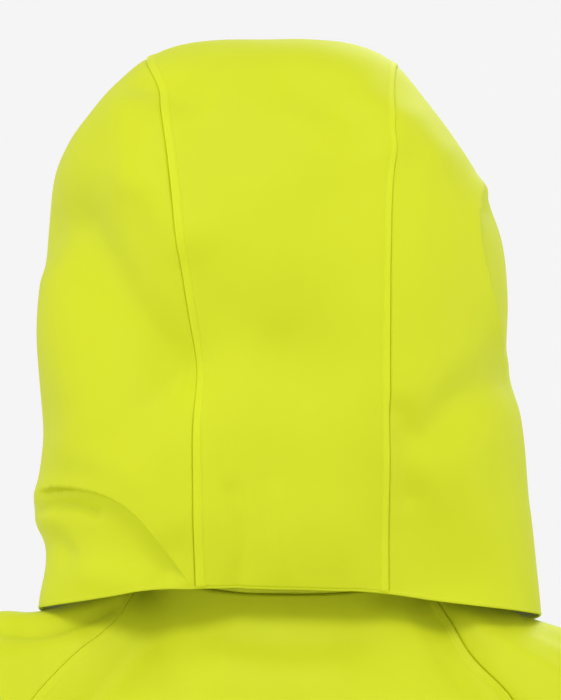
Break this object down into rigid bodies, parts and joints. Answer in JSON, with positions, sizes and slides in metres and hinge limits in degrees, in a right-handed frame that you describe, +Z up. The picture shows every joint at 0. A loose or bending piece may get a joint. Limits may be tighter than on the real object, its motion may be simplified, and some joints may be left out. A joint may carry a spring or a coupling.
{
  "type": "hooded hardshell jacket",
  "caption": "Waterproof hooded jacket with raglan shoulders, front zip, zipped pockets, adjustable cuffs and a helmet-size hood worn up.",
  "frame": {"origin": "middle of the neck opening, level with the neck seam at the centre back", "axes": "+Z up, +Y towards the wearer's back, +X towards the wearer's left"},
  "size_m": [0.7728, 0.2996, 1.119],
  "materials": {
    "shell_fabric": "matt waterproof face fabric in fluorescent yellow, very fine weave",
    "lining_fabric": "pale grey backer and seam tape",
    "trim_fabric": "the face fabric folded double and topstitched",
    "zip_tape": "woven zip tape dyed to match",
    "zip_coil": "moulded coil dyed to match",
    "slider_metal": "satin grey",
    "moulded_plastic": "black acetal, satin",
    "loop_fleece": "loop half of a hook and loop fastening"
  },
  "bodies": {
    "jacket_body": {"back_panel": "shell_fabric", "blank_label": "lining_fabric", "chest_bag": "lining_fabric", "chest_zip_tape": "zip_tape", "chest_zip_teeth": "zip_coil", "chin_guard": "lining_fabric", "collar_lining": "lining_fabric", "collar_outer": "shell_fabric", "front_panel_left": "shell_fabric", "front_panel_right": "shell_fabric", "hang_loop": "shell_fabric", "hem_band": "trim_fabric", "hem_cord_lock_left": "moulded_plastic", "hem_cord_lock_right": "moulded_plastic", "main_zip_box": "moulded_plastic", "main_zip_tape_left": "zip_tape", "main_zip_tape_right": "zip_tape", "main_zip_teeth": "zip_coil", "pocket_bag_left": "lining_fabric", "pocket_bag_right": "lining_fabric", "pocket_zip_tape_left": "zip_tape", "pocket_zip_tape_right": "zip_tape", "pocket_zip_teeth_left": "zip_coil", "pocket_zip_teeth_right": "zip_coil", "shoulder_left": "shell_fabric", "shoulder_right": "shell_fabric", "storm_flap": "shell_fabric"},
    "hood": {"hood_brim": "shell_fabric", "hood_centre_panel": "shell_fabric", "hood_cord_lock_left": "moulded_plastic", "hood_cord_lock_right": "moulded_plastic", "hood_face_binding": "trim_fabric", "hood_hem_facing": "lining_fabric", "hood_seam_tape_left": "lining_fabric", "hood_seam_tape_right": "lining_fabric", "hood_side_panel_left": "shell_fabric", "hood_side_panel_right": "shell_fabric"},
    "chest_pull": {"chest_zip_pull": "moulded_plastic"},
    "chest_slider": {"chest_zip_slider": "slider_metal"},
    "sleeve_left": {"cuff_left": "trim_fabric", "cuff_patch_left": "loop_fleece", "sleeve_left": "shell_fabric"},
    "sleeve_right": {"cuff_patch_right": "loop_fleece", "cuff_right": "trim_fabric", "sleeve_right": "shell_fabric"},
    "cuff_tab_left": {"cuff_tab_left": "shell_fabric"},
    "cuff_tab_right": {"cuff_tab_right": "shell_fabric"},
    "hem_button_left": {"hem_lock_button_left": "moulded_plastic"},
    "hem_button_right": {"hem_lock_button_right": "moulded_plastic"},
    "hood_button_left": {"hood_lock_button_left": "moulded_plastic"},
    "hood_button_right": {"hood_lock_button_right": "moulded_plastic"},
    "main_pull": {"main_zip_pull": "moulded_plastic"},
    "main_slider": {"main_zip_slider": "slider_metal"},
    "pocket_pull_left": {"pocket_zip_pull_left": "moulded_plastic"},
    "pocket_pull_right": {"pocket_zip_pull_right": "moulded_plastic"},
    "pocket_slider_left": {"pocket_zip_slider_left": "slider_metal"},
    "pocket_slider_right": {"pocket_zip_slider_right": "slider_metal"}
  },
  "joints": [
    {"name": "main_slider_run", "type": "slide", "parent": "jacket_body", "child": "main_slider", "axis": [0, -0.0452, -0.999], "range_m": [0, 0.755]},
    {"name": "main_pull_flip", "type": "hinge", "parent": "main_slider", "child": "main_pull", "pos_m": [0, -0.10918, 0.02221], "axis": [-1, 0, 0], "range_deg": [0, 150]},
    {"name": "pocket_slider_run_left", "type": "slide", "parent": "jacket_body", "child": "pocket_slider_left", "axis": [0.0143, -0.0412, -0.9991], "range_m": [0, 0.154]},
    {"name": "pocket_pull_flip_left", "type": "hinge", "parent": "pocket_slider_left", "child": "pocket_pull_left", "pos_m": [0.11957, -0.11602, -0.4738], "axis": [-0.9445, -0.3284, 0], "range_deg": [0, 150]},
    {"name": "pocket_slider_run_right", "type": "slide", "parent": "jacket_body", "child": "pocket_slider_right", "axis": [-0.0143, -0.0412, -0.9991], "range_m": [0, 0.154]},
    {"name": "pocket_pull_flip_right", "type": "hinge", "parent": "pocket_slider_right", "child": "pocket_pull_right", "pos_m": [-0.11957, -0.11602, -0.4738], "axis": [-0.9445, 0.3284, 0], "range_deg": [0, 150]},
    {"name": "chest_slider_run", "type": "slide", "parent": "jacket_body", "child": "chest_slider", "axis": [0.0094, -0.0458, -0.9989], "range_m": [0, 0.134]},
    {"name": "chest_pull_flip", "type": "hinge", "parent": "chest_slider", "child": "chest_pull", "pos_m": [0.09297, -0.11099, -0.19378], "axis": [-0.9794, -0.2018, 0], "range_deg": [0, 150]},
    {"name": "sleeve_swing_left", "type": "hinge", "parent": "jacket_body", "child": "sleeve_left", "pos_m": [0.213, 0.005, -0.122], "axis": [1, 0, 0], "range_deg": [-60, 25]},
    {"name": "cuff_tab_peel_left", "type": "hinge", "parent": "sleeve_left", "child": "cuff_tab_left", "pos_m": [0.3185, 0.0465, -0.674], "axis": [0, 0, 1], "range_deg": [0, 70]},
    {"name": "sleeve_swing_right", "type": "hinge", "parent": "jacket_body", "child": "sleeve_right", "pos_m": [-0.213, 0.005, -0.122], "axis": [1, 0, 0], "range_deg": [-60, 25]},
    {"name": "cuff_tab_peel_right", "type": "hinge", "parent": "sleeve_right", "child": "cuff_tab_right", "pos_m": [-0.3185, 0.0465, -0.674], "axis": [0, 0, -1], "range_deg": [0, 70]},
    {"name": "hood_tilt", "type": "hinge", "parent": "jacket_body", "child": "hood", "pos_m": [0, 0.104, 0.004], "axis": [-1, 0, 0], "range_deg": [0, 75]},
    {"name": "hood_button_press_left", "type": "slide", "parent": "hood", "child": "hood_button_left", "axis": [0, 0, -1], "range_m": [0, 0.0025], "stiffness_N_per_m": 400, "springref_m": -0.001},
    {"name": "hem_button_press_left", "type": "slide", "parent": "jacket_body", "child": "hem_button_left", "axis": [0, 0, -1], "range_m": [0, 0.0025], "stiffness_N_per_m": 400, "springref_m": -0.001},
    {"name": "hood_button_press_right", "type": "slide", "parent": "hood", "child": "hood_button_right", "axis": [0, 0, -1], "range_m": [0, 0.0025], "stiffness_N_per_m": 400, "springref_m": -0.001},
    {"name": "hem_button_press_right", "type": "slide", "parent": "jacket_body", "child": "hem_button_right", "axis": [0, 0, -1], "range_m": [0, 0.0025], "stiffness_N_per_m": 400, "springref_m": -0.001}
  ]
}
